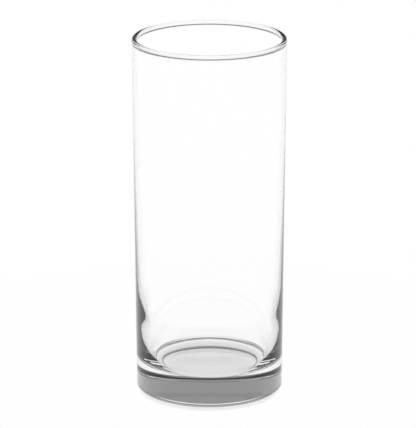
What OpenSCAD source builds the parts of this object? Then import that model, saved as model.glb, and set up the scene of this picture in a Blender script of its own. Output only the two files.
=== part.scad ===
// Straight highball glass, pressed and blown in one piece from clear soda-lime glass.
// Lengths are in millimetres. +Z is up, and the origin is the middle of the ring it stands on.

/* [Overall] */
// Height from the table to the top of the rim
glass_h = 150; // [125:1:175]
// Outside diameter across the rim
rim_d = 63.3; // [58:0.1:72]
// Outside diameter where the wall runs into the heel
heel_d = 60.34; // [56:0.02:70]

/* [Rim] */
// Wall thickness just under the rim
lip_t = 1.5; // [1.2:0.05:2]
// How far the fire-polished bead of the rim stands out from the wall
bead_out = 0.13; // [0.05:0.01:0.5]
// How far the bead stands in from the wall
bead_in = 0.3; // [0.05:0.01:0.5]
// Radius of the hollows that blend the bead into the wall
bead_blend_r = 1.5; // [1:0.1:3]

/* [Wall] */
// Wall thickness low down, above the glass that has settled round the floor
low_t = 4.4; // [3:0.05:5.5]
// How late the wall thickens on its way down: 1 is an even wedge, more keeps the upper wall thin
thicken_power = 2.8; // [1:0.1:4]
// Extra thickness of the glass that has settled just above the corner of the floor
settle_t = 1.1; // [0:0.05:3]
// Height over which the settled glass thins out to about a third
settle_reach = 3.5; // [2:0.1:8]
// Height of the settle wave, a faint swelling of the inside left by the mould
wave_z = 31; // [26:1:60]
// Extra wall thickness at the crest of the settle wave
wave_t = 0.05; // [0:0.05:0.8]
// Height over which the settle wave dies away to each side
wave_reach = 5; // [3:0.5:8]

/* [Base] */
// Height of the inside floor above the table, at its edge
floor_z = 12.7; // [9:0.1:18]
// Rise of the floor from its edge to its middle, less than 0 for a dished floor
floor_crown = -0.05; // [-0.6:0.05:1.5]
// Width over which the inside rounds in from the wall to the floor
corner_w = 4.2; // [1.5:0.1:7]
// Height over which the inside rounds in from the wall to the floor
corner_h = 1.5; // [1.5:0.1:9]
// Width of the rounded heel, from the wall to the standing ring
heel_w = 6.3; // [2:0.1:7]
// Height of the rounded heel
heel_h = 3.1; // [1.5:0.1:6]
// Width of the flat ring that the glass stands on
stand_w = 0.65; // [0.4:0.05:3]
// Height of the shallow recess under the base, at its edge
recess_h = 1.4; // [0.3:0.05:2]
// Width over which the underside slopes from the standing ring up into the recess
recess_edge_w = 1.05; // [0.6:0.05:4]
// Further rise of the recess from its edge to its middle
recess_crown = 0.2; // [0:0.05:1]

/* [Hidden] */

// Points along each curved stretch of the profile, and sides of the OpenSCAD preview
arc_steps = 12;
bead_steps = 24;
wall_steps = 36;
turn_sides = 180;

// The bead is a full round, a little thicker than the wall that it tops
bead_r = (lip_t + bead_out + bead_in) / 2;
bead_x = rim_d / 2 - bead_r;
bead_z = glass_h - bead_r;

// Each blend circle touches the wall and the outside of the bead
function blend_drop(bulge) = sqrt(2 * (bead_r + bead_blend_r) * bulge - bulge * bulge);
function blend_angle(bulge) = acos(1 - bulge / (bead_r + bead_blend_r));
lip_x = rim_d / 2 - bead_out;
lip_z = bead_z - blend_drop(bead_out);
mouth_x = lip_x - lip_t;
mouth_z = bead_z - blend_drop(bead_in);

// The outside leans out a little from heel to rim, so that the glass leaves its mould
heel_x = heel_d / 2;
draft = atan2(lip_x - heel_x, lip_z - heel_h);
function outside_x(z) = heel_x + (z - heel_h) * tan(draft);

// The inside follows the outside, less a wall that thickens towards the base and gathers above the floor
bend_z = floor_z + corner_h;
function drop_share(z) = (mouth_z - z) / (mouth_z - bend_z);
function settled(z) = settle_t * exp((bend_z - z) / settle_reach);
function wave(z) = wave_t * exp(-pow((z - wave_z) / wave_reach, 2));
function wall_t(z) = lip_t + (low_t - lip_t) * pow(drop_share(z), thicken_power) + settled(z) + wave(z);
function inside_x(z) = outside_x(z) - wall_t(z);

// The corner of the floor is part of an ellipse, which takes over at the lean that the inside has there
bend_lean = atan(tan(draft) + thicken_power * (low_t - lip_t) / (mouth_z - bend_z) + settle_t / settle_reach);
corner_start = atan(corner_h / corner_w * tan(bend_lean));
corner_radii = [corner_w / cos(corner_start), corner_h / (1 - sin(corner_start))];
floor_x = inside_x(bend_z) - corner_w;
function floor_height(x) = floor_z + floor_crown * (1 + cos(180 * x / floor_x)) / 2;

// The heel is a quarter of an ellipse, and the recess under the base starts inside the standing ring
stand_outer_x = heel_x - heel_w;
stand_inner_x = stand_outer_x - stand_w;
recess_x = stand_inner_x - recess_edge_w;

// A smooth fall from 1 to 0 as the share goes from 0 to 1
function fall(done_share) = (1 + cos(180 * done_share)) / 2;

function arc(centre, radii, start, stop, steps) = [
    for (i = [0 : steps])
        let (a = start + (stop - start) * i / steps)
            centre + [radii.x * cos(a), radii.y * sin(a)]
];

// Half of the section, from the middle of the underside round the outside and back down the inside
function recess() = [
    for (i = [0 : arc_steps - 1])
        [recess_x * i / arc_steps, recess_h + recess_crown * fall(i / arc_steps)]
];

function recess_edge() = [
    for (i = [0 : arc_steps])
        [recess_x + recess_edge_w * i / arc_steps, recess_h * fall(i / arc_steps)]
];

function heel() = arc([stand_outer_x, heel_h], [heel_w, heel_h], -90, 0, arc_steps);

function rim() = let (blend = [bead_blend_r, bead_blend_r]) concat(
    arc([lip_x + bead_blend_r, lip_z], blend, 180 - draft, 180 - blend_angle(bead_out), arc_steps),
    arc([bead_x, bead_z], [bead_r, bead_r], -blend_angle(bead_out), 180 + blend_angle(bead_in), bead_steps),
    arc([mouth_x - bead_blend_r, mouth_z], blend, blend_angle(bead_in), 0, arc_steps)
);

function inside_wall() = [
    for (i = [1 : wall_steps])
        let (z = mouth_z + (bend_z - mouth_z) * i / wall_steps)
            [inside_x(z), z]
];

function floor_corner() = arc([floor_x, floor_z + corner_radii.y], corner_radii, -corner_start, -90, arc_steps);

function inside_floor() = [
    for (i = [1 : arc_steps])
        let (x = floor_x * (1 - i / arc_steps))
            [x, floor_height(x)]
];

function section() =
    concat(recess(), recess_edge(), heel(), rim(), inside_wall(), floor_corner(), inside_floor());

module tumbler() {
    color("aliceblue", 0.35)
        rotate_extrude($fn = turn_sides)
            polygon(section());
}

tumbler();
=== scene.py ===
# A straight highball glass of clear soda-lime glass, standing on a white table in a small studio.
import math

import bpy
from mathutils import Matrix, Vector


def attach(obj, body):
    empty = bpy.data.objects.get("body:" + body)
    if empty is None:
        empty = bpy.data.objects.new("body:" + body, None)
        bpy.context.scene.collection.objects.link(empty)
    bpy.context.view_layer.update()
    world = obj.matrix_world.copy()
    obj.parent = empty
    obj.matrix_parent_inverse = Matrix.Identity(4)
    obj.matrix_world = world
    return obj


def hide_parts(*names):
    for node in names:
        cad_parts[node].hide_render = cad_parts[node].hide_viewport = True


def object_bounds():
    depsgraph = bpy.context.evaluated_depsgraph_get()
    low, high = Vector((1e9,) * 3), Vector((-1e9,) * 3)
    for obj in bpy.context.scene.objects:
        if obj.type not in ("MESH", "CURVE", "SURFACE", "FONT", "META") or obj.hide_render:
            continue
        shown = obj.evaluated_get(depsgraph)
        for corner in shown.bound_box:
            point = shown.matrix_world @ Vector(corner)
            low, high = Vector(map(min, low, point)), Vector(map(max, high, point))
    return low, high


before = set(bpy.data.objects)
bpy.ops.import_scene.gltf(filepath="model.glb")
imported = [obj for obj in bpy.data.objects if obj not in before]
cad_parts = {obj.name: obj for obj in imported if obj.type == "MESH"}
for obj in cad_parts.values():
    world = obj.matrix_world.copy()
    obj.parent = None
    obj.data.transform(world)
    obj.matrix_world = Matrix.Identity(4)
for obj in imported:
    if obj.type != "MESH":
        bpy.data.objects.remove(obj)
CAD_LOW, CAD_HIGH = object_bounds()
MM = 0.001
WELD = 0.001 * MM
HALF = 0.5

# Sizes of the glass: the height and the rim come from the frame, the rest is as the glass was drawn
GLASS_H = CAD_HIGH.z - CAD_LOW.z
RIM_R = (CAD_HIGH.x - CAD_LOW.x) / 2
HEEL_X = 30.17 * MM
HEEL_W = 6.3 * MM
HEEL_H = 3.1 * MM
LIP_T = 1.5 * MM
BEAD_OUT = 0.18 * MM
BEAD_IN = 0.55 * MM
BEAD_BLEND_R = 2.4 * MM
LOW_T = 4.4 * MM
THICKEN_POWER = 2.8
SETTLE_T = 1.1 * MM
SETTLE_REACH = 3.5 * MM
WAVE_Z = 31 * MM
WAVE_T = 0.05 * MM
WAVE_REACH = 5 * MM
SIDE_SWELL_T = 0.4 * MM
SIDE_SWELL_Z = 31 * MM
SIDE_SWELL_REACH = 7 * MM
SIDE_SWELL_SKEW = 0.3
RIPPLE_T = 0.012 * MM
RIPPLE_SIZE = 9 * MM
RIPPLE_SEED = 7.0
RIPPLE_DETAIL = 1.0
FLOOR_Z = 12.7 * MM
FLOOR_CROWN = -0.05 * MM
CORNER_W = 4.2 * MM
CORNER_H = 1.5 * MM
STAND_W = 0.65 * MM
RECESS_H = 1.4 * MM
RECESS_EDGE_W = 1.05 * MM
RECESS_CROWN = 0.2 * MM

# The fire-polished surface: a faint grain all over, and fine scuffs on the ring that it stands on
POLISH_ROUGHNESS = 0.02
SCUFF_ROUGHNESS = 0.5
SCUFF_SIZE = 0.6 * MM
SCUFF_DETAIL = 4.0
SCUFF_H = 0.12 * MM
GRAIN_SIZE = 4 * MM
GRAIN_DETAIL = 2.0
GRAIN_DEPTH = 0.001 * MM
GLASS_IOR = 1.52
GLASS_TINT = (0.9, 0.9, 0.9, 1)
GLASS_DENSITY = 10.0

# Points of the profile along each stretch, and steps of one full turn
ARC_STEPS = 16
BEAD_STEPS = 32
WALL_STEPS = 60
TURN_STEPS = 256

# The photograph's camera
PHOTO_W, PHOTO_H = 416, 428
FOCAL_PX = 3634
AXIS_PX = (209.4, 214.66)
CAMERA_TILT = math.radians(16.557)
CAMERA_DISTANCE = 1.4935
SENSOR_MM = 36


def arc(centre, radii, start, stop, steps):
    """Points on a circle or ellipse of the section, from one angle to another."""
    points = []
    for i in range(steps + 1):
        angle = start + (stop - start) * i / steps
        points.append((centre[0] + radii[0] * math.cos(angle), centre[1] + radii[1] * math.sin(angle)))
    return points


def glass_profile():
    """Half of the section, from the middle of the underside round the outside and back down the inside."""
    right, half_turn = math.pi / 2, math.pi
    bead_r = (LIP_T + BEAD_OUT + BEAD_IN) / 2
    bead_x, bead_z = RIM_R - bead_r, GLASS_H - bead_r
    reach = bead_r + BEAD_BLEND_R

    def blend_drop(bulge):
        return math.sqrt(2 * reach * bulge - bulge * bulge)

    def blend_angle(bulge):
        return math.acos(1 - bulge / reach)

    lip_x, lip_z = RIM_R - BEAD_OUT, bead_z - blend_drop(BEAD_OUT)
    mouth_x, mouth_z = lip_x - LIP_T, bead_z - blend_drop(BEAD_IN)
    draft = math.atan2(lip_x - HEEL_X, lip_z - HEEL_H)
    bend_z = FLOOR_Z + CORNER_H

    def inside_x(z):
        outside = HEEL_X + (z - HEEL_H) * math.tan(draft)
        share = (mouth_z - z) / (mouth_z - bend_z)
        settled = SETTLE_T * math.exp((bend_z - z) / SETTLE_REACH)
        wave = WAVE_T * math.exp(-(((z - WAVE_Z) / WAVE_REACH) ** 2))
        return outside - LIP_T - (LOW_T - LIP_T) * share ** THICKEN_POWER - settled - wave

    thickening = THICKEN_POWER * (LOW_T - LIP_T) / (mouth_z - bend_z)
    bend_slope = math.tan(draft) + thickening + SETTLE_T / SETTLE_REACH
    corner_start = math.atan(CORNER_H / CORNER_W * bend_slope)
    corner_w = CORNER_W / math.cos(corner_start)
    corner_h = CORNER_H / (1 - math.sin(corner_start))
    floor_x = inside_x(bend_z) - CORNER_W
    stand_outer_x = HEEL_X - HEEL_W
    stand_inner_x = stand_outer_x - STAND_W
    recess_x = stand_inner_x - RECESS_EDGE_W

    outside = []
    for i in range(ARC_STEPS):
        share = i / ARC_STEPS
        outside.append((recess_x * share, RECESS_H + RECESS_CROWN * (1 + math.cos(math.pi * share)) / 2))
    for i in range(ARC_STEPS + 1):
        share = i / ARC_STEPS
        outside.append((recess_x + RECESS_EDGE_W * share, RECESS_H * (1 + math.cos(math.pi * share)) / 2))
    outside += arc((stand_outer_x, HEEL_H), (HEEL_W, HEEL_H), -right, 0, ARC_STEPS)
    for i in range(1, WALL_STEPS):
        share = i / WALL_STEPS
        outside.append((HEEL_X + (lip_x - HEEL_X) * share, HEEL_H + (lip_z - HEEL_H) * share))
    angle = blend_angle(BEAD_OUT)
    blend = (BEAD_BLEND_R, BEAD_BLEND_R)
    outside += arc((lip_x + BEAD_BLEND_R, lip_z), blend, half_turn - draft, half_turn - angle, ARC_STEPS)
    rim = arc((bead_x, bead_z), (bead_r, bead_r), -angle, half_turn + blend_angle(BEAD_IN), BEAD_STEPS)
    inside = arc((mouth_x - BEAD_BLEND_R, mouth_z), blend, blend_angle(BEAD_IN), 0, ARC_STEPS)
    for i in range(1, WALL_STEPS + 1):
        z = mouth_z + (bend_z - mouth_z) * i / WALL_STEPS
        inside.append((inside_x(z), z))
    inside += arc((floor_x, FLOOR_Z + corner_h), (corner_w, corner_h), -corner_start, -right, ARC_STEPS)
    for i in range(1, ARC_STEPS + 1):
        x = floor_x * (1 - i / ARC_STEPS)
        inside.append((x, FLOOR_Z + FLOOR_CROWN * (1 + math.cos(math.pi * x / floor_x)) / 2))
    kept = [outside[0]]
    for point in outside[1:] + rim + inside:
        if math.dist(point, kept[-1]) > WELD:
            kept.append(point)
    return kept, kept.index(inside[-1]) - len(inside) + 1


def inside_shares(profile, first_inside):
    """How far each point of the profile follows the ripples and the side swell: only the inside does."""
    ripple, swell = [], []
    for i, (x, z) in enumerate(profile):
        inner = 1.0 if i >= first_inside else 0.0
        near_rim = min(1.0, (GLASS_H - z) / RIPPLE_SIZE)
        near_axis = min(1.0, x / RIPPLE_SIZE)
        ripple.append(inner * near_rim * near_axis)
        above = max(0.0, z - SIDE_SWELL_Z) / SIDE_SWELL_REACH
        swell.append(inner * near_axis * math.exp(-above * above))
    return ripple, swell


def add_node(tree, kind, inputs=None, **settings):
    """A node of a tree, with its settings, and its inputs set to values or linked to sockets."""
    node = tree.nodes.new(kind)
    for name, value in settings.items():
        setattr(node, name, value)
    for name, value in (inputs or {}).items():
        if isinstance(value, bpy.types.NodeSocket):
            tree.links.new(value, node.inputs[name])
        else:
            node.inputs[name].default_value = value
    return node


def maths(tree, operation, *values):
    """The result of a Math node on values or sockets."""
    return add_node(tree, "ShaderNodeMath", dict(enumerate(values)), operation=operation).outputs[0]


def smooth_step(tree, value, low, high):
    """0 below low, 1 above high and a smooth rise between."""
    return add_node(
        tree,
        "ShaderNodeMapRange",
        {"Value": value, "From Min": low, "From Max": high},
        interpolation_type="SMOOTHSTEP",
    ).outputs[0]


def mixed(tree, share, first, second):
    """A value that goes from the first to the second as the share goes from 0 to 1."""
    return add_node(tree, "ShaderNodeMix", {0: share, 2: first, 3: second}, data_type="FLOAT").outputs[0]


def lathe_tree():
    """Geometry Nodes that turn a profile round the Z axis into a closed skin, with an uneven inside."""
    tree = bpy.data.node_groups.new("lathe", "GeometryNodeTree")
    face = tree.interface
    face.new_socket("Geometry", in_out="INPUT", socket_type="NodeSocketGeometry")
    face.new_socket("Turn Steps", in_out="INPUT", socket_type="NodeSocketInt")
    for name in ("Weld Distance", "Side Swell", "Swell Skew", "Ripple Depth", "Ripple Size", "Ripple Seed"):
        face.new_socket(name, in_out="INPUT", socket_type="NodeSocketFloat")
    face.new_socket("Material", in_out="INPUT", socket_type="NodeSocketMaterial")
    face.new_socket("Geometry", in_out="OUTPUT", socket_type="NodeSocketGeometry")
    source = add_node(tree, "NodeGroupInput").outputs
    steps = source["Turn Steps"]
    domain = add_node(tree, "GeometryNodeAttributeDomainSize", {"Geometry": source["Geometry"]})
    count = domain.outputs["Point Count"]
    columns = maths(tree, "ADD", steps, 1)
    grid = add_node(tree, "GeometryNodeMeshGrid", {"Vertices X": columns, "Vertices Y": count})
    index = add_node(tree, "GeometryNodeInputIndex").outputs[0]
    column = maths(tree, "FLOOR", maths(tree, "DIVIDE", maths(tree, "ADD", index, HALF), count))
    row = maths(tree, "SUBTRACT", index, maths(tree, "MULTIPLY", column, count))

    def on_profile(kind, value):
        sample = add_node(tree, "GeometryNodeSampleIndex", data_type=kind, domain="POINT")
        tree.links.new(source["Geometry"], sample.inputs["Geometry"])
        tree.links.new(value, next(s for s in sample.inputs if s.name == "Value" and s.enabled))
        tree.links.new(row, sample.inputs["Index"])
        return next(s for s in sample.outputs if s.enabled)

    def share_of(name):
        share = add_node(tree, "GeometryNodeInputNamedAttribute", {"Name": name}, data_type="FLOAT")
        return on_profile("FLOAT", share.outputs["Attribute"])

    def turned(point):
        return add_node(
            tree, "ShaderNodeVectorRotate", {"Vector": point, "Angle": turn}, rotation_type="Z_AXIS"
        ).outputs[0]

    turn = maths(tree, "MULTIPLY", maths(tree, "DIVIDE", column, steps), math.tau)
    point = on_profile("FLOAT_VECTOR", add_node(tree, "GeometryNodeInputPosition").outputs[0])
    side = maths(tree, "COSINE", turn)
    lobes = maths(tree, "SUBTRACT", 1.0, maths(tree, "MULTIPLY", side, source["Swell Skew"]))
    lobes = maths(tree, "MULTIPLY", lobes, maths(tree, "MULTIPLY", side, side))
    swell = maths(tree, "MULTIPLY", maths(tree, "MULTIPLY", lobes, source["Side Swell"]), share_of("swell"))
    noise = add_node(
        tree,
        "ShaderNodeTexNoise",
        {
            "Vector": turned(point),
            "W": source["Ripple Seed"],
            "Scale": maths(tree, "DIVIDE", 1.0, source["Ripple Size"]),
            "Detail": RIPPLE_DETAIL,
        },
        noise_dimensions="4D",
    ).outputs[0]
    ripple = maths(tree, "MULTIPLY", maths(tree, "SUBTRACT", noise, HALF), source["Ripple Depth"])
    inward = maths(tree, "ADD", swell, maths(tree, "MULTIPLY", ripple, share_of("ripple")))
    inward = add_node(tree, "ShaderNodeCombineXYZ", {"X": inward}).outputs[0]
    moved = add_node(tree, "ShaderNodeVectorMath", {0: point, 1: inward}, operation="SUBTRACT").outputs[0]
    skin = add_node(
        tree, "GeometryNodeSetPosition", {"Geometry": grid.outputs["Mesh"], "Position": turned(moved)}
    ).outputs[0]
    welded = add_node(
        tree, "GeometryNodeMergeByDistance", {"Geometry": skin, "Distance": source["Weld Distance"]}
    ).outputs[0]
    smooth = add_node(tree, "GeometryNodeSetShadeSmooth", {"Geometry": welded}).outputs[0]
    real = add_node(tree, "GeometryNodeRealizeInstances", {"Geometry": smooth}).outputs[0]
    dressed = add_node(
        tree, "GeometryNodeSetMaterial", {"Geometry": real, "Material": source["Material"]}
    ).outputs[0]
    add_node(tree, "NodeGroupOutput", {"Geometry": dressed})
    return tree


def lathe(name, profile, first_inside, material):
    """A piece turned from a profile, as a plain mesh."""
    line = bpy.data.meshes.new(name + "_profile")
    line.from_pydata([(x, 0, z) for x, z in profile], [], [])
    for label, shares in zip(("ripple", "swell"), inside_shares(profile, first_inside)):
        line.attributes.new(label, "FLOAT", "POINT").data.foreach_set("value", shares)
    source = bpy.data.objects.new(name + "_profile", line)
    bpy.context.scene.collection.objects.link(source)
    modifier = source.modifiers.new("lathe", "NODES")
    tree = lathe_tree()
    modifier.node_group = tree
    values = {
        "Turn Steps": TURN_STEPS,
        "Weld Distance": WELD,
        "Side Swell": SIDE_SWELL_T,
        "Swell Skew": SIDE_SWELL_SKEW,
        "Ripple Depth": RIPPLE_T,
        "Ripple Size": RIPPLE_SIZE,
        "Ripple Seed": RIPPLE_SEED,
        "Material": material,
    }
    for item in tree.interface.items_tree:
        if item.in_out == "INPUT" and item.name in values:
            modifier[item.identifier] = values[item.name]
    graph = bpy.context.evaluated_depsgraph_get()
    mesh = bpy.data.meshes.new_from_object(source.evaluated_get(graph))
    mesh.name = name
    mesh.materials.pop(index=0)
    piece = bpy.data.objects.new(name, mesh)
    bpy.context.scene.collection.objects.link(piece)
    bpy.data.objects.remove(source)
    return piece


def surface_noise(tree, place, size, detail):
    """Noise of a given grain size on the surface."""
    inputs = {"Vector": place, "Scale": 1 / size, "Detail": detail}
    return add_node(tree, "ShaderNodeTexNoise", inputs).outputs[0]


def clear_glass():
    material = bpy.data.materials.new("soda_lime_glass")
    material.use_nodes = True
    tree = material.node_tree
    shader = tree.nodes["Principled BSDF"]
    shader.inputs["Base Color"].default_value = (1, 1, 1, 1)
    shader.inputs["IOR"].default_value = GLASS_IOR
    shader.inputs["Transmission Weight"].default_value = 1
    place = add_node(tree, "ShaderNodeTexCoord").outputs["Object"]
    height = add_node(tree, "ShaderNodeSeparateXYZ", {0: place}).outputs["Z"]
    worn = mixed(tree, smooth_step(tree, height, 0.0, SCUFF_H), SCUFF_ROUGHNESS, POLISH_ROUGHNESS)
    scuffs = surface_noise(tree, place, SCUFF_SIZE, SCUFF_DETAIL)
    tree.links.new(maths(tree, "MULTIPLY", scuffs, worn), shader.inputs["Roughness"])
    grain = surface_noise(tree, place, GRAIN_SIZE, GRAIN_DETAIL)
    bump = add_node(tree, "ShaderNodeBump", {"Height": grain, "Strength": 1.0, "Distance": GRAIN_DEPTH})
    tree.links.new(bump.outputs[0], shader.inputs["Normal"])
    volume = add_node(tree, "ShaderNodeVolumeAbsorption", {"Color": GLASS_TINT, "Density": GLASS_DENSITY})
    tree.links.new(volume.outputs[0], tree.nodes["Material Output"].inputs["Volume"])
    return material


# Studio: a white table that fades out to the sides
TABLE_R = 0.19
TABLE_FADE_R = 0.8 * TABLE_R
TABLE_GREY = (0.8, 0.8, 0.8, 1)
TABLE_WHITE_R = 0.028
TABLE_CLEAR_R = 0.030
TABLE_SHEER_SHARE = 0.05
TABLE_GAP = 0.05 * MM
TABLE_GLOW_SHARE = 0.82
TABLE_STEPS = 128

# A white sweep goes round the glass to a few degrees above the level, and a dim, plain room is above it
SWEEP_TOP, SWEEP_SOFT = 3.0, 4.0
ROOM_LEVEL = 0.25


def white_table():
    material = bpy.data.materials.new("white_table")
    material.use_nodes = True
    tree = material.node_tree
    tree.nodes.clear()
    path = add_node(tree, "ShaderNodeLightPath").outputs
    seen = maths(tree, "ADD", path["Is Glossy Ray"], path["Is Transmission Ray"])
    seen = maths(tree, "MINIMUM", maths(tree, "ADD", path["Is Camera Ray"], seen), 1.0)
    lit = add_node(tree, "ShaderNodeBsdfDiffuse", {"Color": TABLE_GREY})
    glow = add_node(tree, "ShaderNodeEmission", {"Color": (1, 1, 1, 1), "Strength": 1.0})
    glow_share = maths(tree, "MULTIPLY", seen, TABLE_GLOW_SHARE)
    paint = add_node(tree, "ShaderNodeMixShader", {0: glow_share, 1: lit.outputs[0], 2: glow.outputs[0]})
    place = add_node(tree, "ShaderNodeTexCoord").outputs["Object"]
    distance = add_node(tree, "ShaderNodeVectorMath", {0: place}, operation="LENGTH").outputs["Value"]
    sheer = smooth_step(tree, distance, TABLE_WHITE_R, TABLE_CLEAR_R)
    edge = smooth_step(tree, distance, TABLE_FADE_R, TABLE_R)
    cover = mixed(tree, sheer, 1.0, TABLE_SHEER_SHARE)
    cover = maths(tree, "MULTIPLY", cover, maths(tree, "SUBTRACT", 1.0, edge))
    bare = add_node(tree, "ShaderNodeBsdfTransparent")
    faded = add_node(tree, "ShaderNodeMixShader", {0: cover, 1: bare.outputs[0], 2: paint.outputs[0]})
    add_node(tree, "ShaderNodeOutputMaterial", {"Surface": faded.outputs[0]})
    mesh = bpy.data.meshes.new("table")
    ring = []
    for i in range(TABLE_STEPS):
        turn = math.tau * i / TABLE_STEPS
        ring.append((TABLE_R * math.cos(turn), TABLE_R * math.sin(turn), -TABLE_GAP))
    mesh.from_pydata(ring, [], [list(range(TABLE_STEPS))])
    mesh.materials.append(material)
    table = bpy.data.objects.new("table", mesh)
    bpy.context.scene.collection.objects.link(table)


def studio_world():
    world = bpy.data.worlds.new("studio")
    bpy.context.scene.world = world
    world.use_nodes = True
    tree = world.node_tree
    tree.nodes.clear()
    direction = add_node(tree, "ShaderNodeTexCoord").outputs["Generated"]
    rise = add_node(tree, "ShaderNodeSeparateXYZ", {0: direction}).outputs["Z"]
    height = maths(tree, "DEGREES", maths(tree, "ARCSINE", rise))
    strength = mixed(tree, smooth_step(tree, height, SWEEP_TOP, SWEEP_TOP + SWEEP_SOFT), 1.0, ROOM_LEVEL)
    back = add_node(tree, "ShaderNodeBackground", {"Color": (1, 1, 1, 1), "Strength": strength})
    add_node(tree, "ShaderNodeOutputWorld", {"Surface": back.outputs[0]})


def photo_camera():
    data = bpy.data.cameras.new("camera")
    data.sensor_width = SENSOR_MM
    data.lens = FOCAL_PX * SENSOR_MM / PHOTO_H
    data.shift_x = (PHOTO_W / 2 - AXIS_PX[0]) / PHOTO_H
    data.shift_y = (AXIS_PX[1] - PHOTO_H / 2) / PHOTO_H
    camera = bpy.data.objects.new("camera", data)
    bpy.context.scene.collection.objects.link(camera)
    back = Vector((0, -math.cos(CAMERA_TILT), math.sin(CAMERA_TILT)))
    camera.location = Vector((0, 0, GLASS_H / 2)) + back * CAMERA_DISTANCE
    camera.rotation_euler = (-back).to_track_quat("-Z", "Y").to_euler()
    bpy.context.scene.camera = camera


bpy.context.scene.view_settings.view_transform = "Standard"
glass = lathe("tumbler_glass", *glass_profile(), clear_glass())
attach(glass, "root")
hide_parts("tumbler")
white_table()
studio_world()
photo_camera()
